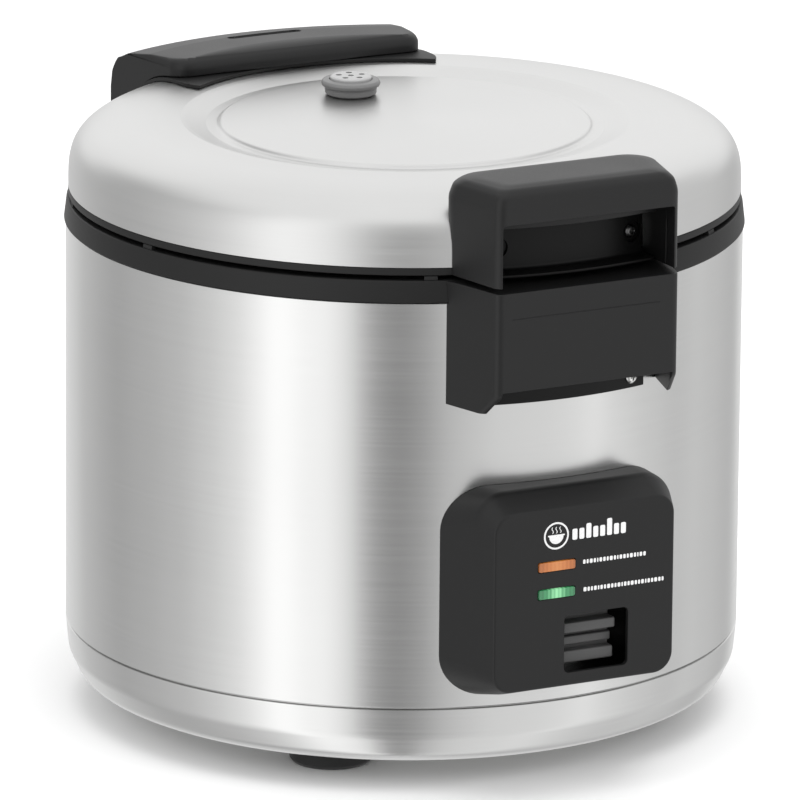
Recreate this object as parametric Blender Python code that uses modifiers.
"""Electric rice cooker with a hinged lid, for a canteen kitchen.

Metres, +Z up. The body's axis is the Z axis, the table is z = 0, and the front, with the
control panel, faces -Y. Run it with: blender --background --python part.py
"""

import math

import bmesh
import bpy
from mathutils import Matrix, Vector

# ---- clearances ------------------------------------------------------------------------
GAP = 0.0003  # between two pieces that touch
RUNNING = 0.00012  # round a pin that turns in its hole

# ---- body ------------------------------------------------------------------------------
BODY_RADIUS = 0.190
SHEET = 0.001
FOOT_HEIGHT = 0.016
PAN_DEPTH = 0.034
SHELL_HEIGHT = 0.231
BAND_HEIGHT = 0.0123
BAND_FLARE = 0.001
LID_GAP = 0.0025
LID_RIM_HEIGHT = 0.0045
LID_RISE = 0.038
REACH = 0.028  # how far handles and hinge cover stand out from the body
SEAM = 0.0008  # the groove between the shell and the base ring
LIP_HEIGHT = 0.008  # the lips that locate the shell at both ends

SEAM_Z = FOOT_HEIGHT + PAN_DEPTH
BAND_Z = SEAM_Z + SHELL_HEIGHT
BAND_TOP_Z = BAND_Z + BAND_HEIGHT
LID_RIM_Z = BAND_TOP_Z + LID_GAP
LID_EDGE_Z = LID_RIM_Z + LID_RIM_HEIGHT
LID_TOP_Z = LID_EDGE_Z + LID_RISE
BAND_RADIUS = BODY_RADIUS + BAND_FLARE
SHELL_BORE = BODY_RADIUS - SHEET

# ---- feet and bottom -------------------------------------------------------------------
FOOT_CIRCLE = 0.127
FOOT_RADIUS = 0.0235
FOOT_BORE = 0.0065
PLATE_OVERLAP = 0.012
RING_WIDTH = 0.034
VENT_CIRCLE = 0.085
VENT_SLOT = (0.028, 0.004)
VENT_COUNT = 8

# ---- pot and its chamber ---------------------------------------------------------------
HEAT_SPACE = 0.030  # between the body's outside and the chamber
CHAMBER_FLOOR_Z = 0.0735
CHAMBER_HOLE = 0.024
POT_CLEARANCE = 0.004
POT_WALL = 0.002
POT_FLOOR_RADIUS = 0.030  # the round between the pot's wall and its floor
FLANGE = 0.006
LEDGE_DROP = 0.0068  # the pot's ledge, below the band's top
LEDGE_THICK = 0.004
PLATE_RADIUS = 0.112
PLATE_THICK = 0.0177
SIDE_HEATER_Z = 0.150
SIDE_HEATER_HEIGHT = 0.050
SIDE_HEATER_THICK = 0.003

CHAMBER_RADIUS = BODY_RADIUS - HEAT_SPACE
POT_RADIUS = CHAMBER_RADIUS - SHEET - POT_CLEARANCE
LEDGE_Z = BAND_TOP_Z - LEDGE_DROP
RIM_UNDER_Z = LEDGE_Z - LEDGE_THICK
PLATE_Z = CHAMBER_FLOOR_Z + SHEET + GAP
PLATE_TOP_Z = PLATE_Z + PLATE_THICK
POT_Z = PLATE_TOP_Z + GAP
POT_FLANGE_RADIUS = POT_RADIUS + POT_CLEARANCE + FLANGE
LEDGE_WALL = POT_FLANGE_RADIUS + 0.003

# ---- lid -------------------------------------------------------------------------------
LID_RADIUS = BODY_RADIUS - 0.0014
DISC_RADIUS = 0.1036
RING_RADIUS = 0.1257
DISC_DROP = 0.0016
GROOVE_DROP = 0.0038
SHOULDER_POWERS = (3.2, 3.7)
SHOULDER_STEPS = 7
RIM_LIP = 0.006  # the lid rim's lip inside the lid shell
RIM_TAPER = 0.0012
LINER_RISE = 0.007
LINER_FLAT = 0.120
GASKET_WIDTH = 0.012
VENT_Y = 0.067
VENT_RADIUS = 0.0168
VENT_STEM = 0.008
VENT_HEIGHT = 0.0107
VENT_CAP_RADIUS = 0.0118
STEAM_HOLE = 0.0011
STEAM_CIRCLE = 0.0066

# ---- handles at the front --------------------------------------------------------------
WALL = 0.003
FACE_HALF = 0.0555
ROOT_HALF = 0.0665
ROOT_DEPTH = 0.040
HANDLE_HEIGHT = 0.0693
HANDLE_CHAMFER = 0.012
LID_HANDLE_RISE = 0.0127  # above the lid's top
LID_HANDLE_BACK = BODY_RADIUS - 0.027
POCKET_HALF = 0.0515
POCKET_HEIGHT = 0.035
LINTEL = 0.006
BACK_THICK = 0.004
BACK_HALF_ANGLE = math.radians(15.3)
BACK_FLANGE = 0.015  # how far the lid handle backing's lower edge stands out
BACK_HEIGHT = 0.0285
HANDLE_SCREW_X = 0.0405
HANDLE_SCREW_ANGLE = math.asin(HANDLE_SCREW_X / (BODY_RADIUS + 0.0016))
HANDLE_SCREW_LIFT = 0.0055  # above the backing's lower edge
LID_SCREW_LIFT = 0.0150
SCREW_HEAD = 0.0040
SCREW_SHANK = 0.0019
SCREW_LENGTH = 0.012

# ---- control panel ---------------------------------------------------------------------
PANEL_REACH = 0.027
PANEL_Z = 0.0556
PANEL_HEIGHT = 0.1274
PANEL_HALF = 0.069
PANEL_FACE = (0.0555, 0.0670, 0.1680)  # half width, lowest and highest z of the front face
PANEL_EDGE = (0.0605, 0.0625, 0.1780)  # the same where the side slopes change
PANEL_EDGE_BACK = 0.013
WINDOW = (0.0078, 0.0905, 0.0395, 0.0330)  # centre x, centre z, width, height
LAMP_X = -0.0172
LAMPS_Z = {"cook": 0.1360, "warm": 0.1205}
LAMP_SIZE = (0.0232, 0.0058)
LAMP_DEPTH = 0.008
PADDLE_X = 0.0055
PADDLE_WIDTH = 0.032
PADDLE_Z = (0.0755, 0.1060)
PADDLE_SET = 0.012  # plate's front, behind the panel's face
RIBS = ((0.0952, 0.0058, 0.0082), (0.0868, 0.0050, 0.0030), (0.0775, 0.0068, 0.0060))

# ---- switch lever and thermostat -------------------------------------------------------
PIVOT_Y = -0.100
PIVOT_Z = 0.0585
LEVER_PIN = 0.002
ARM_X = (-0.003, 0.009)
ARM_Z = (0.055, 0.062)
ARM_PADDLE_Z = (0.086, 0.094)
ARM_CLEAR = 0.006
EAR_THICK = 0.002
EAR_HALF = 0.008
SENSOR_RADIUS = 0.0190
SENSOR_DEPTH = 0.016
SENSOR_CLEAR = 0.0015
ROD_RADIUS = 0.005
ROD_LENGTH = 0.0075
SPRING_RADIUS = 0.0125
SPRING_WIRE = 0.0009
SPRING_TURNS = 4

# ---- hinge and rear handle -------------------------------------------------------------
HINGE_OUT = 0.015  # hinge axis, out from the body's side
HINGE_RISE = 0.0082  # hinge axis, above the lid's lower edge
PIN_RADIUS = 0.003
PIN_HALF = 0.036
PIN_HEAD = 0.002
PIN_HEAD_RADIUS = 0.0045
HINGE_END = 0.006
ARM_AT = 0.022
EAR_AT = 0.030
HINGE_PLATE = 0.004
EAR_NOTCH = 0.009  # how far the cover's notches for the ears go above the pin
COVER_FRONT = BODY_RADIUS - 0.062
COVER_FRONT_HALF = 0.078
COVER_REAR_HALF = 0.090
COVER_DROP = 0.0383  # from the lid's top down to the cover's lower edge
COVER_RISE = 0.0132
COVER_BASE = 0.002
COVER_BASE_INNER = BODY_RADIUS - 0.059
COVER_BASE_FRONT = BODY_RADIUS - 0.090
COVER_BASE_HALF_ANGLE = math.radians(36)
COVER_GROOVE = (BODY_RADIUS - 0.014, 0.046, 0.007, 0.0015)  # y, length, width, depth
REAR_DROP = 0.0058  # from the band's top down to the rear handle's
REAR_HEIGHT = 0.0635
REAR_FACE_HALF = 0.072
REAR_ROOT_HALF = 0.086
BRACKET_THICK = 0.003
BRACKET_HEIGHT = 0.0437
HINGE_Y = BODY_RADIUS + HINGE_OUT
HINGE_Z = LID_RIM_Z + HINGE_RISE
COVER_BOTTOM_Z = LID_TOP_Z - COVER_DROP
COVER_TOP_Z = LID_TOP_Z + COVER_RISE
REAR_TOP_Z = BAND_TOP_Z - REAR_DROP
BRACKET_TOP_Z = BAND_Z - 0.001 - GAP
BRACKET_Z = BRACKET_TOP_Z - BRACKET_HEIGHT
EAR_ROOM = HINGE_PLATE / 2 + 0.0008

# ---- power inlet -----------------------------------------------------------------------
INLET_Z = 0.101
INLET_SIZE = (0.050, 0.034)
INLET_OUT = 0.020
SOCKET_SIZE = (0.0244, 0.0170)
SOCKET_DEPTH = 0.0155
BLADE = (0.0020, 0.0040, 0.0090)

FINE, MEDIUM, COARSE = 40, 24, 10  # sides of big, small and tiny round pieces
FRONT, REAR = -math.pi / 2, math.pi / 2

FINISHES = {
    "brushed_steel": ((0.62, 0.62, 0.61), 0.28, 1.0),
    "plain_steel": ((0.55, 0.55, 0.54), 0.38, 1.0),
    "cast_aluminium": ((0.60, 0.60, 0.60), 0.45, 1.0),
    "pot_coating": ((0.09, 0.09, 0.095), 0.45, 0.3),
    "black_plastic": ((0.028, 0.028, 0.030), 0.50, 0.0),
    "grey_plastic": ((0.16, 0.16, 0.165), 0.45, 0.0),
    "black_rubber": ((0.020, 0.020, 0.020), 0.80, 0.0),
    "grey_silicone": ((0.30, 0.30, 0.30), 0.55, 0.0),
    "pale_plastic": ((0.62, 0.62, 0.60), 0.40, 0.0),
    "amber_lens": ((0.90, 0.42, 0.08), 0.15, 0.0),
    "green_lens": ((0.10, 0.55, 0.22), 0.15, 0.0),
    "brass": ((0.72, 0.55, 0.25), 0.30, 1.0),
    "mica": ((0.48, 0.42, 0.34), 0.60, 0.0),
}


def clear_scene():
    for obj in list(bpy.data.objects):
        bpy.data.objects.remove(obj, do_unlink=True)


clear_scene()
PARTS = bpy.data.collections.new("rice_cooker")
CUTTERS = bpy.data.collections.new("cutters")
for collection in (PARTS, CUTTERS):
    bpy.context.scene.collection.children.link(collection)


def finish(name):
    """The named material, made the first time it is asked for."""
    material = bpy.data.materials.get(name)
    if material is None:
        colour, roughness, metallic = FINISHES[name]
        material = bpy.data.materials.new(name)
        material.use_nodes = True
        shader = material.node_tree.nodes["Principled BSDF"]
        shader.inputs["Base Color"].default_value = (*colour, 1.0)
        shader.inputs["Roughness"].default_value = roughness
        shader.inputs["Metallic"].default_value = metallic
        material.diffuse_color = (*colour, 1.0)
    return material


def add(name, mesh, material):
    """An object of the cooker, or a hidden cutter where material is None."""
    obj = bpy.data.objects.new(name, mesh)
    if material is None:
        CUTTERS.objects.link(obj)
        obj.hide_render = True
        obj.display_type = "WIRE"
    else:
        PARTS.objects.link(obj)
        mesh.materials.append(finish(material))
    return obj


def add_bmesh(name, bm, material):
    bmesh.ops.recalc_face_normals(bm, faces=bm.faces)
    mesh = bpy.data.meshes.new(name)
    bm.to_mesh(mesh)
    bm.free()
    return add(name, mesh, material)


def cut(obj, cutter, operation="DIFFERENCE"):
    """A Boolean of obj with another object."""
    modifier = obj.modifiers.new(f"{operation}_{cutter.name}", "BOOLEAN")
    modifier.operation = operation
    modifier.solver = "EXACT"
    modifier.object = cutter
    return obj


def turned(name, outline, material, sides=FINE, closed=True, wall=0.0):
    """A solid of revolution about Z. The outline, in (radius, z), runs down its outer side."""
    mesh = bpy.data.meshes.new(name)
    edges = [(i, i + 1) for i in range(len(outline) - 1)]
    if closed:
        edges.append((len(outline) - 1, 0))
    mesh.from_pydata([(r, 0.0, z) for r, z in outline], edges, [])
    obj = add(name, mesh, material)
    screw = obj.modifiers.new("turn", "SCREW")
    screw.axis = "Z"
    screw.steps = sides
    screw.render_steps = sides
    screw.use_merge_vertices = True
    screw.merge_threshold = 0.00001
    if wall:
        shell = obj.modifiers.new("wall", "SOLIDIFY")
        shell.thickness = wall
        shell.offset = -1.0
        shell.use_even_offset = True
    return obj


def sector(name, outline, middle, half_angle, steps, material):
    """A closed (radius, z) outline swept part of the way round Z, about the angle middle."""
    bm = bmesh.new()
    start = Matrix.Rotation(middle - half_angle, 4, "Z")
    face = bm.faces.new([bm.verts.new(start @ Vector((r, 0.0, z))) for r, z in outline])
    bmesh.ops.spin(
        bm,
        geom=list(face.verts) + list(face.edges) + [face],
        cent=(0, 0, 0),
        axis=(0, 0, 1),
        angle=2 * half_angle,
        steps=steps,
    )
    return add_bmesh(name, bm, material)


def rounded(corners, radii, steps=3):
    """The points of a convex outline, anticlockwise, with each corner rounded by its radius."""
    points = []
    for i, (corner, radius) in enumerate(zip(corners, radii)):
        here = Vector(corner)
        before = (Vector(corners[i - 1]) - here).normalized()
        after = (Vector(corners[(i + 1) % len(corners)]) - here).normalized()
        half = before.angle(after) / 2
        centre = here + (before + after).normalized() * radius / math.sin(half)
        first = here + before * radius / math.tan(half)
        turn = math.pi - 2 * half
        for k in range(steps + 1):
            spoke = Matrix.Rotation(turn * k / steps, 2) @ (first - centre)
            points.append(centre + spoke)
    return points


def trapezoid(y_wide, half_wide, y_narrow, half_narrow, radii):
    """A plan outline, anticlockwise, wide at y_wide and narrow at y_narrow."""
    corners = [(-half_wide, y_wide), (-half_narrow, y_narrow)]
    corners += [(half_narrow, y_narrow), (half_wide, y_wide)]
    wide, narrow = radii
    if y_narrow > y_wide:
        corners.reverse()
    return rounded(corners, [wide, narrow, narrow, wide])


def rectangle(width, height, radius, centre=(0.0, 0.0), steps=3):
    cx, cy = centre
    x, y = width / 2, height / 2
    corners = [(cx - x, cy - y), (cx + x, cy - y), (cx + x, cy + y), (cx - x, cy + y)]
    return rounded(corners, [radius] * 4, steps)


def loft(name, rings, material):
    """A closed solid through rings of points, with as many points in each."""
    bm = bmesh.new()
    loops = [[bm.verts.new(point) for point in ring] for ring in rings]
    count = len(loops[0])
    for lower, upper in zip(loops, loops[1:]):
        for i in range(count):
            j = (i + 1) % count
            bm.faces.new((lower[i], lower[j], upper[j], upper[i]))
    bm.faces.new(reversed(loops[0]))
    bm.faces.new(loops[-1])
    return add_bmesh(name, bm, material)


def at_z(outline, z):
    return [(p[0], p[1], z) for p in outline]


def at_y(outline, y):
    """An outline in (x, z) set at one y."""
    return [(p[0], y, p[1]) for p in outline]


def at_x(outline, x):
    """An outline in (y, z) set at one x."""
    return [(x, p[0], p[1]) for p in outline]


def box(name, low, high, material=None):
    bm = bmesh.new()
    bmesh.ops.create_cube(bm, size=1.0)
    low, high = Vector(low), Vector(high)
    bmesh.ops.scale(bm, vec=high - low, verts=bm.verts)
    bmesh.ops.translate(bm, vec=(low + high) / 2, verts=bm.verts)
    return add_bmesh(name, bm, material)


def parallel(points, distance):
    """The points moved this far to the left of their path, so a path down a wall moves out."""
    moved = []
    for i, point in enumerate(points):
        here = Vector(point)
        ways = []
        if i > 0:
            ways.append((here - Vector(points[i - 1])).normalized())
        if i < len(points) - 1:
            ways.append((Vector(points[i + 1]) - here).normalized())
        normals = [Vector((-way.y, way.x)) for way in ways]
        mean = sum(normals, Vector((0.0, 0.0))).normalized()
        moved.append(tuple(here + mean * distance / max(mean.dot(normals[0]), 0.5)))
    return moved


def arc(centre, radius, start, end, steps):
    """Points on an arc, from one angle in degrees to another."""
    angles = [math.radians(start + (end - start) * k / steps) for k in range(steps + 1)]
    return [(centre[0] + radius * math.cos(a), centre[1] + radius * math.sin(a)) for a in angles]


def shoulder():
    """The lid's outside from its raised ring down to its edge, in (radius, z)."""
    round_power, drop_power = SHOULDER_POWERS
    points = []
    for k in range(SHOULDER_STEPS + 1):
        t = 1 - (1 - k / SHOULDER_STEPS) ** 2
        radius = RING_RADIUS + (LID_RADIUS - RING_RADIUS) * t
        lift = (1 - t**round_power) ** (1 / drop_power)
        points.append((radius, LID_EDGE_Z + LID_RISE * lift))
    return points


def radial(middle, angle, radius, z):
    """The matrix of a place on the body's side, its local +Z pointing away from the axis."""
    turn = middle + angle
    place = Matrix.Translation((radius * math.cos(turn), radius * math.sin(turn), z))
    return place @ Matrix.Rotation(turn, 4, "Z") @ Matrix.Rotation(math.pi / 2, 4, "Y")


def screw_and_hole(name, matrix, holes_in):
    """A pan-head screw whose head sits at the matrix's origin, and its hole in each piece."""
    head = [(0, 0.0026), (SCREW_HEAD * 0.6, 0.0024), (SCREW_HEAD, 0.0010), (SCREW_HEAD, GAP)]
    shank = [(SCREW_SHANK, GAP), (SCREW_SHANK, -SCREW_LENGTH), (0, -SCREW_LENGTH)]
    screw = turned(name, head + shank, "plain_steel", COARSE, closed=False)
    screw.matrix_world = matrix
    bore = SCREW_SHANK + GAP
    hole = turned(
        f"{name}_hole",
        [(0, 0.001), (bore, 0.001), (bore, -SCREW_LENGTH - 0.002), (0, -SCREW_LENGTH - 0.002)],
        None,
        COARSE,
        closed=False,
    )
    hole.matrix_world = matrix
    for piece in holes_in:
        cut(piece, hole)


def cross_pin(name, radius, x_low, x_high, y, z, material):
    """A round pin along X, or a cutter of the same shape."""
    length = x_high - x_low
    outline = [(0, length), (radius, length), (radius, 0), (0, 0)]
    pin = turned(name, outline, material, MEDIUM, closed=False)
    pin.matrix_world = Matrix.Translation((x_low, y, z)) @ Matrix.Rotation(math.pi / 2, 4, "Y")
    return pin


# ---- envelopes: the spaces that body and lid take, with the gap round them ---------------
def body_envelope():
    above = LID_RIM_Z + 0.02
    outline = [(0, above), (BAND_RADIUS + GAP, above), (BAND_RADIUS + GAP, BAND_Z - GAP)]
    outline += [(BODY_RADIUS + GAP, BAND_Z - GAP), (BODY_RADIUS + GAP, 0.0), (0, 0.0)]
    return turned("body_space", outline, None, closed=False)


def lid_envelope(name, distance):
    edge = parallel(shoulder(), distance)
    outline = [(0, LID_TOP_Z + distance)] + edge
    outline += [(LID_RADIUS + distance, BAND_TOP_Z - 0.02), (0, BAND_TOP_Z - 0.02)]
    return turned(name, outline, None, closed=False)


def cover_envelope(name, inset):
    """The hinge cover's crowned top and round back, turned about the body's axis."""
    rear = BODY_RADIUS + REACH
    crown = [(0.0, COVER_TOP_Z), (rear - 0.068, COVER_TOP_Z - 0.001), (rear - 0.038, COVER_TOP_Z - 0.0035)]
    crown += [(rear - 0.018, COVER_TOP_Z - 0.0070), (rear - 0.006, COVER_TOP_Z - 0.0125)]
    crown += [(rear - 0.0015, COVER_TOP_Z - 0.0200), (rear, COVER_TOP_Z - 0.0300)]
    outline = parallel(crown, -inset) if inset else crown
    low = REAR_TOP_Z - REAR_HEIGHT - 0.02
    outline = [(0, outline[0][1])] + outline[1:] + [(rear - inset, low), (0, low)]
    return turned(name, outline, None, closed=False)


BODY_SPACE = body_envelope()
LID_SPACE = lid_envelope("lid_space", GAP)
BASE_SPACE = lid_envelope("cover_base_space", GAP + COVER_BASE + GAP)


# ---- body --------------------------------------------------------------------------------
def base_outline():
    """The base ring's outside: a lip inside the shell, the seam, then the rounded pan."""
    lip = SHELL_BORE - GAP
    low = FOOT_HEIGHT - 0.001
    return [
        (lip, SEAM_Z + LIP_HEIGHT),
        (lip, SEAM_Z - SEAM / 2),
        (BODY_RADIUS, SEAM_Z - SEAM / 2),
        (BODY_RADIUS - 0.0015, low + 0.018),
        (BODY_RADIUS - 0.008, low + 0.0045),
        (BODY_RADIUS - 0.018, low),
        (BODY_RADIUS - RING_WIDTH, low),
    ]


def make_body():
    shell_low, shell_high = SEAM_Z + SEAM / 2, BAND_Z - GAP
    shell = turned(
        "outer_shell",
        [
            (BODY_RADIUS, shell_high),
            (BODY_RADIUS, shell_low),
            (SHELL_BORE, shell_low),
            (SHELL_BORE, shell_high),
        ],
        "brushed_steel",
    )
    outside = -BODY_RADIUS - 0.01
    cut(shell, box("panel_cutout", (-0.032, outside, 0.072), (0.032, outside + 0.05, 0.146)))
    half_x, half_z = SOCKET_SIZE[0] / 2, SOCKET_SIZE[1] / 2
    inlet_low = (-half_x, -outside - 0.05, INLET_Z - half_z)
    cut(shell, box("inlet_cutout", inlet_low, (half_x, -outside, INLET_Z + half_z)))

    turned("base_ring", base_outline(), "brushed_steel", closed=False, wall=SHEET)

    lip = SHELL_BORE - GAP
    inner = CHAMBER_RADIUS - SHEET - 0.002
    rim = [
        (BODY_RADIUS - 0.0005, BAND_TOP_Z),
        (BAND_RADIUS, BAND_Z),
        (lip, BAND_Z),
        (lip, BAND_Z - LIP_HEIGHT),
        (lip - 0.0025, BAND_Z - LIP_HEIGHT),
        (lip - 0.0025, RIM_UNDER_Z),
        (inner, RIM_UNDER_Z),
        (inner, LEDGE_Z),
        (LEDGE_WALL, LEDGE_Z),
        (LEDGE_WALL + 0.002, BAND_TOP_Z),
    ]
    turned("body_rim", rim, "black_plastic")

    plate_z = FOOT_HEIGHT + GAP
    plate_radius = BODY_RADIUS - RING_WIDTH + PLATE_OVERLAP
    plate = turned(
        "bottom_plate",
        [(0, plate_z + SHEET), (plate_radius, plate_z + SHEET), (plate_radius, plate_z), (0, plate_z)],
        "plain_steel",
        closed=False,
    )
    length, width = VENT_SLOT
    for k in range(VENT_COUNT):
        slot = box(f"vent_slot_{k + 1}", (-length / 2, -width / 2, 0), (length / 2, width / 2, 0.03))
        turn = Matrix.Rotation(2 * math.pi * k / VENT_COUNT, 4, "Z")
        slot.matrix_world = turn @ Matrix.Translation((VENT_CIRCLE, 0, 0))
        cut(plate, slot)
    for k in range(4):
        angle = math.pi / 4 + k * math.pi / 2
        x, y = FOOT_CIRCLE * math.cos(angle), FOOT_CIRCLE * math.sin(angle)
        foot = turned(
            f"foot_{k + 1}",
            [
                (FOOT_RADIUS - 0.002, FOOT_HEIGHT),
                (FOOT_RADIUS, 0.002),
                (FOOT_RADIUS - 0.0015, 0.0),
                (FOOT_BORE, 0.0),
                (FOOT_BORE, 0.006),
                (SCREW_SHANK + GAP, 0.006),
                (SCREW_SHANK + GAP, FOOT_HEIGHT),
            ],
            "black_rubber",
            MEDIUM,
        )
        foot.location = (x, y, 0)
        down = Matrix.Translation((x, y, 0.006)) @ Matrix.Rotation(math.pi, 4, "X")
        screw_and_hole(f"foot_screw_{k + 1}", down, [plate])
    return shell


def make_chamber():
    flange_z = RIM_UNDER_Z - GAP - SHEET
    chamber = [
        (CHAMBER_RADIUS + FLANGE, flange_z),
        (CHAMBER_RADIUS, flange_z),
        (CHAMBER_RADIUS, CHAMBER_FLOOR_Z + 0.006),
        (CHAMBER_RADIUS - 0.006, CHAMBER_FLOOR_Z),
        (CHAMBER_HOLE, CHAMBER_FLOOR_Z),
    ]
    turned("heat_chamber", chamber, "plain_steel", closed=False, wall=SHEET)

    inside = CHAMBER_RADIUS + GAP
    outside = inside + SIDE_HEATER_THICK
    band = [(outside, SIDE_HEATER_Z + SIDE_HEATER_HEIGHT), (outside, SIDE_HEATER_Z)]
    turned("side_heater", band + [(inside, z) for _, z in reversed(band)], "mica")

    hole = SENSOR_RADIUS + SENSOR_CLEAR
    plate = [
        (PLATE_RADIUS - 0.004, PLATE_TOP_Z),
        (PLATE_RADIUS, PLATE_TOP_Z - 0.003),
        (PLATE_RADIUS, PLATE_Z),
        (hole, PLATE_Z),
        (hole, PLATE_TOP_Z),
    ]
    turned("heating_plate", plate, "cast_aluminium", MEDIUM)

    flange_z = LEDGE_Z + GAP
    corner = arc((POT_RADIUS - POT_FLOOR_RADIUS, POT_Z + POT_FLOOR_RADIUS), POT_FLOOR_RADIUS, 0, -90, 4)
    pot = [(POT_FLANGE_RADIUS, flange_z), (POT_RADIUS, flange_z)] + corner + [(0, POT_Z)]
    turned("inner_pot", pot, "pot_coating", closed=False, wall=POT_WALL)


def make_thermostat():
    top = PLATE_TOP_Z
    can = [(0, top), (SENSOR_RADIUS, top), (SENSOR_RADIUS, top - SENSOR_DEPTH)]
    turned("sensor_can", can, "cast_aluminium", MEDIUM, closed=False, wall=SHEET)

    mount_z = CHAMBER_FLOOR_Z - GAP
    collar = ROD_RADIUS + GAP
    outer = CHAMBER_HOLE + 0.004
    mount = [
        (outer, mount_z),
        (outer, mount_z - 0.0015),
        (collar + 0.002, mount_z - 0.0015),
        (collar + 0.002, mount_z - 0.0025),
        (collar, mount_z - 0.0025),
        (collar, mount_z),
    ]
    turned("sensor_mount", mount, "plain_steel", MEDIUM)

    rod_z = ARM_Z[1] + GAP
    rod = [(0, rod_z + ROD_LENGTH), (ROD_RADIUS, rod_z + ROD_LENGTH), (ROD_RADIUS, rod_z), (0, rod_z)]
    turned("magnet_rod", rod, "plain_steel", MEDIUM, closed=False)

    low = mount_z + GAP + SPRING_WIRE
    high = top - SHEET - GAP - SPRING_WIRE
    count = SPRING_TURNS * 10
    curve = bpy.data.curves.new("sensor_spring", "CURVE")
    curve.dimensions = "3D"
    curve.bevel_depth = SPRING_WIRE
    curve.bevel_resolution = 1
    curve.use_fill_caps = True
    spline = curve.splines.new("POLY")
    spline.points.add(count)
    for k, point in enumerate(spline.points):
        angle = 2 * math.pi * k / 10
        height = low + (high - low) * k / count
        point.co = (SPRING_RADIUS * math.cos(angle), SPRING_RADIUS * math.sin(angle), height, 1.0)
    spring = bpy.data.objects.new("sensor_spring", curve)
    PARTS.objects.link(spring)
    curve.materials.append(finish("plain_steel"))


def make_lever():
    """The cook switch: a paddle in the panel's window and the arm that works the magnet."""
    face = -(BODY_RADIUS + PANEL_REACH)
    front = face + PADDLE_SET
    half = PADDLE_WIDTH / 2
    sides = (PADDLE_X - half, PADDLE_X + half)
    plate = box(
        "switch_paddle",
        (sides[0], front, PADDLE_Z[0]),
        (sides[1], front + WALL, PADDLE_Z[1]),
        "grey_plastic",
    )
    for k, (low, height, depth) in enumerate(RIBS):
        corner = (sides[0] + 0.0005, front - depth, low)
        rib = box(f"paddle_rib_{k + 1}", corner, (sides[1] - 0.0005, front + 0.001, low + height))
        cut(plate, rib, "UNION")

    back = front + WALL + GAP
    behind = -(CHAMBER_RADIUS + ARM_CLEAR)
    low_arm, high_arm = ARM_Z
    low_paddle, high_paddle = ARM_PADDLE_Z
    outline = [
        (back, low_paddle),
        (behind - 0.015, low_paddle),
        (behind - 0.005, low_arm),
        (ROD_RADIUS + 0.001, low_arm),
        (ROD_RADIUS + 0.001, high_arm),
        (behind, high_arm),
        (behind - 0.008, high_paddle),
        (back, high_paddle),
    ]
    arm = loft("lever_arm", [at_x(outline, ARM_X[0]), at_x(outline, ARM_X[1])], "plain_steel")
    pin_bore = LEVER_PIN + RUNNING
    cut(arm, cross_pin("lever_bore", pin_bore, -0.05, 0.05, PIVOT_Y, PIVOT_Z, None))

    gap = 0.0025
    inner = (ARM_X[0] - gap, ARM_X[1] + gap)
    outer = (inner[0] - EAR_THICK, inner[1] + EAR_THICK)
    top = CHAMBER_FLOOR_Z - GAP
    near, far = PIVOT_Y - EAR_HALF, PIVOT_Y + EAR_HALF
    bracket = box("lever_bracket", (outer[0], near, PIVOT_Z - 0.006), (outer[1], far, top), "plain_steel")
    cut(bracket, box("bracket_slot", (inner[0], near - 0.01, 0), (inner[1], far + 0.01, top - 0.002)))
    cut(bracket, bpy.data.objects["lever_bore"])
    cross_pin("lever_pin", LEVER_PIN, outer[0] - 0.002, outer[1] - GAP, PIVOT_Y, PIVOT_Z, "plain_steel")

    side = outer[1] + GAP
    switch_low = (side, near - 0.002, PIVOT_Z - 0.004)
    switch_high = (side + 0.006, far + 0.002, top - 0.003)
    box("microswitch", switch_low, switch_high, "grey_plastic")


def make_electrics():
    bottom = FOOT_HEIGHT + GAP + SHEET + GAP
    box("terminal_block", (0.050, 0.070, bottom), (0.080, 0.086, bottom + 0.014), "pale_plastic")
    fuse_z = CHAMBER_FLOOR_Z - 0.003
    cross_pin("thermal_fuse", 0.0025, 0.040, 0.066, 0.030, fuse_z, "pale_plastic")

    face = BODY_RADIUS + INLET_OUT
    outline = rectangle(*INLET_SIZE, 0.005, (0, INLET_Z))
    socket = loft("inlet_socket", [at_y(outline, face), at_y(outline, BODY_RADIUS - 0.02)], "black_plastic")
    cut(socket, BODY_SPACE)
    hole = rectangle(*SOCKET_SIZE, 0.002, (0, INLET_Z))
    floor = face - SOCKET_DEPTH
    cut(socket, loft("socket_hole", [at_y(hole, face + 0.01), at_y(hole, floor)], None))
    thick, height, length = BLADE
    for name, x, z in (("earth", 0.0, 0.0035), ("live", -0.007, -0.0035), ("neutral", 0.007, -0.0035)):
        low = (x - thick / 2, floor + GAP, INLET_Z + z - height / 2)
        high = (x + thick / 2, floor + GAP + length, INLET_Z + z + height / 2)
        box(f"inlet_blade_{name}", low, high, "brass")


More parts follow.
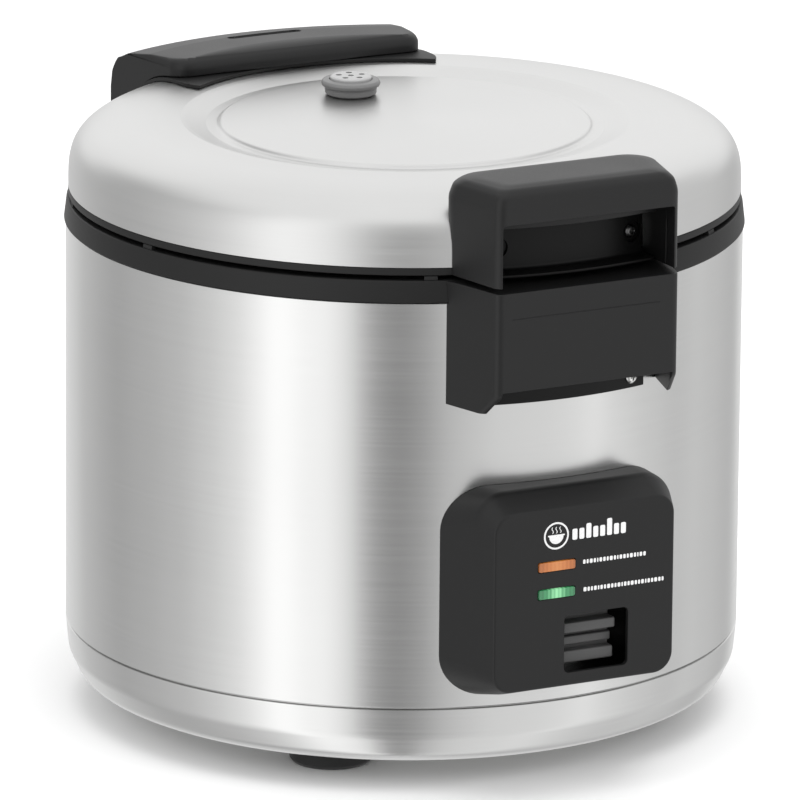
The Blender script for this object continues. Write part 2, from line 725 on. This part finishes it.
def make_panel():
    face = -(BODY_RADIUS + PANEL_REACH)
    back = -(BODY_RADIUS - 0.013)

    def rings(inset):
        sections = [
            (back, PANEL_HALF, PANEL_Z, PANEL_Z + PANEL_HEIGHT, 0.024),
            (face + PANEL_EDGE_BACK, *PANEL_EDGE, 0.018),
            (face, *PANEL_FACE, 0.011),
        ]
        made = []
        for y, half, low, high, radius in sections:
            centre = (0, (low + high) / 2)
            size = (2 * (half - inset), high - low - 2 * inset)
            depth = inset if y == face else 0.0
            made.append(at_y(rectangle(*size, radius - inset / 2, centre, 4), y + depth))
        made[0] = [(x, y + 2 * inset, z) for x, y, z in made[0]]
        return made

    panel = loft("panel_housing", rings(0.0), "black_plastic")
    cut(panel, loft("panel_hollow", rings(WALL), None))
    cut(panel, BODY_SPACE)
    x, z, width, height = WINDOW
    window = rectangle(width, height, 0.003, (x, z))
    cut(panel, loft("panel_window", [at_y(window, face - 0.01), at_y(window, face + 0.01)], None))
    width, height = LAMP_SIZE
    for name, z in LAMPS_Z.items():
        hole = rectangle(width, height, 0.001, (LAMP_X, z), 2)
        cut(panel, loft(f"{name}_lamp_hole", [at_y(hole, face - 0.01), at_y(hole, face + 0.01)], None))
        lens = rectangle(width - 2 * GAP, height - 2 * GAP, 0.001, (LAMP_X, z), 2)
        ends = [at_y(lens, face - 0.0006), at_y(lens, face - 0.0006 + LAMP_DEPTH)]
        loft(f"{name}_lamp_lens", ends, {"cook": "amber_lens", "warm": "green_lens"}[name])
    board_y = face - 0.0006 + LAMP_DEPTH + GAP
    low_z, high_z = min(LAMPS_Z.values()), max(LAMPS_Z.values())
    half = width / 2 + 0.003
    box(
        "lamp_board",
        (LAMP_X - half, board_y, low_z - 0.007),
        (LAMP_X + half, board_y + 0.0016, high_z + 0.007),
        "mica",
    )


# ---- front handles -----------------------------------------------------------------------
def backing(name, middle, low, high, material):
    """A plate bent round the body's side."""
    inner = BODY_RADIUS + GAP
    outline = [(inner, low), (inner + BACK_THICK, low), (inner + BACK_THICK, high), (inner, high)]
    return sector(name, outline, middle, BACK_HALF_ANGLE, 8, material)


def make_front_handle(shell):
    face, root = -(BODY_RADIUS + REACH), -(BODY_RADIUS + REACH - ROOT_DEPTH)
    bottom = BAND_TOP_Z - HANDLE_HEIGHT
    plan = trapezoid(root, ROOT_HALF, face, FACE_HALF, (0.002, 0.005))
    chamfered = [(x, max(y, face + HANDLE_CHAMFER)) for x, y in plan]
    handle = loft(
        "front_handle",
        [at_z(chamfered, bottom), at_z(plan, bottom + HANDLE_CHAMFER), at_z(plan, BAND_TOP_Z)],
        "black_plastic",
    )
    inside = trapezoid(root + 0.01, ROOT_HALF + 0.002, face + WALL, FACE_HALF - WALL, (0.002, 0.003))
    hollow = [at_z(inside, bottom - 0.01), at_z(inside, BAND_TOP_Z - WALL)]
    cut(handle, loft("front_handle_hollow", hollow, None))
    cut(handle, BODY_SPACE)
    back = backing("front_handle_back", FRONT, bottom - 0.001, BRACKET_TOP_Z, "black_plastic")
    seat = BODY_RADIUS + GAP + BACK_THICK
    z = bottom + HANDLE_SCREW_LIFT
    for side, sign in (("left", -1), ("right", 1)):
        place = radial(FRONT, sign * HANDLE_SCREW_ANGLE, seat, z)
        screw_and_hole(f"front_handle_screw_{side}", place, [back, shell])


def make_lid_handle(lid_shell):
    face = -(BODY_RADIUS + REACH)
    low = LID_RIM_Z + GAP
    high = LID_TOP_Z + LID_HANDLE_RISE
    rings = []
    for drop, inset in ((None, 0.0), (0.011, 0.0), (0.0045, 0.0016), (0.0012, 0.0050), (0.0, 0.0100)):
        plan = trapezoid(
            -LID_HANDLE_BACK - inset, ROOT_HALF - inset, face + inset, FACE_HALF - inset, (0.014, 0.006)
        )
        rings.append(at_z(plan, low if drop is None else high - drop))
    handle = loft("lid_handle", rings, "black_plastic")
    y_back = -(LID_RADIUS - 0.016)
    ceiling = low + POCKET_HEIGHT
    below = low - 0.01
    pocket_low = (-POCKET_HALF, face + LINTEL, below)
    cut(handle, box("pocket_space", pocket_low, (POCKET_HALF, y_back, high - LINTEL)))
    mouth_low = (-POCKET_HALF, face - 0.01, below)
    cut(handle, box("pocket_mouth", mouth_low, (POCKET_HALF, face + 0.02, ceiling)))
    cut(handle, LID_SPACE)

    base = low + 0.0005
    inner = LID_RADIUS + 0.0007 + GAP
    top = base + BACK_HEIGHT
    reach = inner + BACK_FLANGE
    half_angle = math.asin((POCKET_HALF - GAP) / reach)
    outline = [(inner, base), (reach, base), (reach, base + 0.002), (inner + BACK_THICK, base + 0.002)]
    outline += [(inner + BACK_THICK, top), (inner, top)]
    back = sector("lid_handle_back", outline, FRONT, half_angle, 8, "black_plastic")
    seat = inner + BACK_THICK / 2
    z = base + LID_SCREW_LIFT
    for side, sign in (("left", -1), ("right", 1)):
        place = radial(FRONT, sign * HANDLE_SCREW_ANGLE, seat, z)
        notch = turned(
            f"screw_notch_{side}",
            [(0, 0.02), (0.0062, 0.02), (0.0062, 0), (0, 0)],
            None,
            COARSE,
            closed=False,
        )
        notch.matrix_world = place
        cut(back, notch)
        screw_and_hole(f"lid_handle_screw_{side}", place, [back, lid_shell])


# ---- lid -------------------------------------------------------------------------------
def make_lid():
    disc_z = LID_TOP_Z - DISC_DROP
    groove_z = LID_TOP_Z - GROOVE_DROP
    outline = [
        (0, disc_z),
        (DISC_RADIUS, disc_z),
        (DISC_RADIUS + 0.0015, groove_z),
        (DISC_RADIUS + 0.0080, groove_z + 0.0004),
        (RING_RADIUS - 0.0030, LID_TOP_Z - 0.0006),
    ] + shoulder()
    shell = turned("lid_shell", outline, "brushed_steel", closed=False, wall=SHEET)

    edge = LID_RADIUS - SHEET - GAP
    inner = LEDGE_WALL - 0.001
    rim = [
        (edge - RIM_TAPER, LID_EDGE_Z + RIM_LIP),
        (edge, LID_EDGE_Z - GAP),
        (LID_RADIUS, LID_EDGE_Z - GAP),
        (LID_RADIUS, LID_RIM_Z),
        (inner, LID_RIM_Z),
        (inner, LID_EDGE_Z + RIM_LIP),
    ]
    turned("lid_rim", rim, "black_plastic")

    flange_z = LID_RIM_Z - 0.0009
    reach = inner - GAP - 0.0002
    liner = [
        (0, flange_z + LINER_RISE),
        (LINER_FLAT, flange_z + LINER_RISE),
        (CHAMBER_RADIUS - 0.010, flange_z),
        (reach, flange_z),
    ]
    liner = turned("lid_liner", liner, "cast_aluminium", closed=False, wall=SHEET)

    top = flange_z - SHEET - GAP
    low = LEDGE_Z + GAP + POT_WALL + GAP
    mid = reach - GASKET_WIDTH
    gasket = [(reach, top), (reach, top - 0.002), (mid + 0.006, low)]
    gasket += [(mid + 0.003, low), (mid, top - 0.002), (mid, top)]
    turned("lid_gasket", gasket, "grey_silicone")

    hole = turned(
        "vent_hole",
        [(0, 0.4), (VENT_STEM + GAP, 0.4), (VENT_STEM + GAP, 0.2), (0, 0.2)],
        None,
        MEDIUM,
        closed=False,
    )
    hole.location = (0, VENT_Y, 0)
    cut(shell, hole)
    drill = [(0, 0.4), (0.006, 0.4), (0.006, 0.2), (0, 0.2)]
    steam = turned("liner_hole", drill, None, COARSE, closed=False)
    steam.location = (0, VENT_Y, 0)
    cut(liner, steam)

    base = disc_z + GAP
    valve = [
        (VENT_CAP_RADIUS + GAP, base + VENT_HEIGHT - 0.0016),
        (VENT_RADIUS - 0.0010, base + VENT_HEIGHT - 0.0022),
        (VENT_RADIUS, base + VENT_HEIGHT - 0.0038),
        (VENT_RADIUS - 0.0006, base + 0.0052),
        (VENT_RADIUS - 0.0028, base + 0.0045),
        (VENT_RADIUS - 0.0020, base + 0.0035),
        (VENT_RADIUS - 0.0022, base + 0.0010),
        (VENT_RADIUS - 0.0038, base),
        (VENT_STEM, base),
        (VENT_STEM, base - 0.004),
        (0.0045, base - 0.004),
        (0.0045, base + VENT_HEIGHT - 0.0038),
        (VENT_CAP_RADIUS + GAP, base + VENT_HEIGHT - 0.0038),
    ]
    turned("vent_valve", valve, "grey_silicone", MEDIUM).location = (0, VENT_Y, 0)
    top = base + VENT_HEIGHT
    low = top - 0.0038 + GAP
    cap = [(0, top), (VENT_CAP_RADIUS - 0.001, top - 0.0002), (VENT_CAP_RADIUS, top - 0.0012)]
    cap += [(VENT_CAP_RADIUS, low), (0, low)]
    cap = turned("vent_cap", cap, "pale_plastic", MEDIUM, closed=False)
    cap.location = (0, VENT_Y, 0)
    places = [(0.0, 0.0)] + [
        (STEAM_CIRCLE * math.cos(a), STEAM_CIRCLE * math.sin(a))
        for a in (2 * math.pi * k / 5 + math.pi / 2 for k in range(5))
    ]
    for k, (x, y) in enumerate(places):
        outline = [(0, 0.4), (STEAM_HOLE, 0.4), (STEAM_HOLE, 0.2), (0, 0.2)]
        steam = turned(f"steam_hole_{k + 1}", outline, None, 10, closed=False)
        steam.location = (x, VENT_Y + y, 0)
        cut(cap, steam)
    return shell


# ---- hinge and rear handle ---------------------------------------------------------------
def make_hinge():
    """Ears on the body, arms on the lid, and the pin that both hang on."""
    inner = BODY_RADIUS + GAP
    top = BRACKET_TOP_Z
    outer = inner + BRACKET_THICK
    outline = [(inner, BRACKET_Z), (outer, BRACKET_Z), (outer, top), (inner, top)]
    bracket = sector("hinge_bracket", outline, REAR, math.radians(20), 8, "plain_steel")
    end = arc((HINGE_Y, HINGE_Z), HINGE_END, 0, 180, 8)
    foot = math.sqrt(inner**2 - EAR_AT**2) + 0.0010
    ear = [(foot, top - 0.0200), (HINGE_Y + HINGE_END, top - 0.0200)] + end
    ear += [(HINGE_Y - HINGE_END, BAND_TOP_Z + 0.001), (HINGE_Y - HINGE_END - 0.001, top - 0.001)]
    ear += [(foot, top - 0.001)]
    for side, sign in (("left", -1), ("right", 1)):
        xs = [sign * EAR_AT - HINGE_PLATE / 2, sign * EAR_AT + HINGE_PLATE / 2]
        piece = loft(f"hinge_ear_{side}", [at_x(ear, xs[0]), at_x(ear, xs[1])], None)
        cut(bracket, piece, "UNION")
    bore = cross_pin("hinge_bore", PIN_RADIUS + RUNNING, -0.1, 0.1, HINGE_Y, HINGE_Z, None)
    cut(bracket, bore)

    length = PIN_HALF
    outline = [(0, length + PIN_HEAD), (PIN_HEAD_RADIUS, length + PIN_HEAD), (PIN_HEAD_RADIUS, length)]
    outline += [(PIN_RADIUS, length), (PIN_RADIUS, -length), (0, -length)]
    pin = turned("hinge_pin", outline, "plain_steel", MEDIUM, closed=False)
    pin.matrix_world = Matrix.Translation((0, HINGE_Y, HINGE_Z)) @ Matrix.Rotation(math.pi / 2, 4, "Y")

    arm = arc((HINGE_Y, HINGE_Z), HINGE_END, -30, -180, 8)
    toe = BODY_RADIUS - 0.040
    arm += [(BODY_RADIUS + 0.004, HINGE_Z + 0.010), (BODY_RADIUS - 0.020, LID_TOP_Z - 0.030)]
    arm += [(toe, LID_TOP_Z - 0.010), (toe, LID_TOP_Z + 0.0055)]
    arm += [(BODY_RADIUS - 0.006, LID_TOP_Z + 0.0015), (HINGE_Y - 0.004, LID_TOP_Z - 0.010)]
    arm += [(HINGE_Y + HINGE_END - 0.0005, HINGE_Z + 0.014)]
    for side, sign in (("left", -1), ("right", 1)):
        xs = [sign * ARM_AT - HINGE_PLATE / 2, sign * ARM_AT + HINGE_PLATE / 2]
        piece = loft(f"hinge_arm_{side}", [at_x(arm, xs[0]), at_x(arm, xs[1])], "plain_steel")
        cut(piece, BASE_SPACE)
        cut(piece, bore)
    return bracket


def cover_plan(inset):
    rear = BODY_RADIUS + REACH + 0.01
    radii = (0.004, 0.012 - inset / 2)
    return trapezoid(rear, COVER_REAR_HALF - inset, COVER_FRONT + inset, COVER_FRONT_HALF - inset, radii)


def make_hinge_cover():
    plan = cover_plan(0.0)
    soft = cover_plan(0.004)
    cover = loft(
        "hinge_cover",
        [
            at_z(plan, COVER_BOTTOM_Z),
            at_z(plan, COVER_TOP_Z - 0.005),
            at_z(cover_plan(0.0012), COVER_TOP_Z - 0.0022),
            at_z(soft, COVER_TOP_Z + 0.0001),
        ],
        "black_plastic",
    )
    cut(cover, cover_envelope("cover_crown", 0.0), "INTERSECT")
    hollow = cover_plan(WALL)
    hollow = loft("cover_hollow", [at_z(hollow, COVER_BOTTOM_Z - 0.01), at_z(hollow, COVER_TOP_Z)], None)
    cut(hollow, cover_envelope("cover_hollow_crown", WALL), "INTERSECT")
    cut(cover, hollow)
    cut(cover, BASE_SPACE)
    y, length, width, depth = COVER_GROOVE
    for side, sign in (("left", -1), ("right", 1)):
        near = (sign * EAR_AT - EAR_ROOM, HINGE_Y, COVER_BOTTOM_Z - 0.01)
        far = (sign * EAR_AT + EAR_ROOM, HINGE_Y + 0.03, HINGE_Z + EAR_NOTCH)
        cut(cover, box(f"cover_notch_{side}", near, far))
    groove = rectangle(length, width, width / 2 - 0.0001, (0, y), 4)
    low = COVER_TOP_Z - 0.0032 - depth
    cut(cover, loft("cover_groove", [at_z(groove, low), at_z(groove, COVER_TOP_Z + 0.01)], None))

    kept = [p for p in shoulder() if COVER_BASE_INNER <= p[0] <= LID_RADIUS - 0.003]
    lower = parallel(kept, GAP)
    upper = parallel(kept, GAP + COVER_BASE)
    facet = 2 * math.pi / FINE
    half_facets = round(COVER_BASE_HALF_ANGLE / facet)
    base = sector(
        "hinge_cover_base", lower + upper[::-1], REAR, half_facets * facet, 2 * half_facets, "black_plastic"
    )
    rear = BODY_RADIUS + REACH
    wide = trapezoid(
        rear, COVER_REAR_HALF + 0.001, COVER_BASE_FRONT, COVER_FRONT_HALF + 0.003, (0.004, 0.020)
    )
    rings = [at_z(wide, COVER_BOTTOM_Z), at_z(wide, COVER_TOP_Z)]
    cut(base, loft("cover_base_plan", rings, None), "INTERSECT")


def make_rear_handle(bracket, shell):
    bottom = REAR_TOP_Z - REAR_HEIGHT
    far, near = BODY_RADIUS + REACH + 0.01, BODY_RADIUS - 0.025
    plan = trapezoid(near, REAR_ROOT_HALF, far, REAR_FACE_HALF, (0.002, 0.004))
    handle = loft("rear_handle", [at_z(plan, bottom), at_z(plan, REAR_TOP_Z)], "black_plastic")
    cut(handle, cover_envelope("rear_round", 0.0008), "INTERSECT")
    root_half, face_half = REAR_ROOT_HALF - WALL + 0.002, REAR_FACE_HALF - WALL
    inside = trapezoid(near - 0.01, root_half, far, face_half, (0.002, 0.004))
    hollow = loft("rear_hollow", [at_z(inside, bottom - 0.01), at_z(inside, REAR_TOP_Z - WALL)], None)
    cut(hollow, cover_envelope("rear_hollow_round", 0.0008 + WALL), "INTERSECT")
    cut(handle, hollow)
    cut(handle, BODY_SPACE)
    for side, sign in (("left", -1), ("right", 1)):
        low = (sign * EAR_AT - EAR_ROOM, BODY_RADIUS - 0.03, REAR_TOP_Z - WALL - 0.002)
        high = (sign * EAR_AT + EAR_ROOM, HINGE_Y + HINGE_END + 0.0008, REAR_TOP_Z + 0.01)
        cut(handle, box(f"ear_slot_{side}", low, high))
        seat = BODY_RADIUS + GAP + BRACKET_THICK
        place = radial(REAR, sign * math.radians(8), seat, BRACKET_Z + 0.012)
        screw_and_hole(f"hinge_bracket_screw_{side}", place, [bracket, shell])


LID_PIECES = ["lid_shell", "lid_rim", "lid_liner", "lid_gasket", "lid_handle", "lid_handle_back"]
LID_PIECES += ["lid_handle_screw_left", "lid_handle_screw_right", "vent_valve", "vent_cap"]
LID_PIECES += ["hinge_cover", "hinge_cover_base", "hinge_arm_left", "hinge_arm_right"]


def hang(name, place, pieces):
    """An empty on a joint's axis, and the pieces that turn about it, parented to it."""
    axis = bpy.data.objects.new(name, None)
    axis.location = place
    PARTS.objects.link(axis)
    for piece in pieces:
        obj = bpy.data.objects[piece]
        obj.parent = axis
        obj.matrix_parent_inverse = Matrix.Translation(place).inverted()


def main():
    shell = make_body()
    make_chamber()
    make_thermostat()
    make_lever()
    make_electrics()
    make_panel()
    make_front_handle(shell)
    make_lid_handle(make_lid())
    bracket = make_hinge()
    make_hinge_cover()
    make_rear_handle(bracket, shell)
    hang("lid_axis", (0, HINGE_Y, HINGE_Z), LID_PIECES)
    hang("lever_axis", (0, PIVOT_Y, PIVOT_Z), ["switch_paddle", "lever_arm"])
    for obj in PARTS.objects:
        if obj.type == "MESH":
            obj.data.set_sharp_from_angle(angle=math.radians(35))


main()
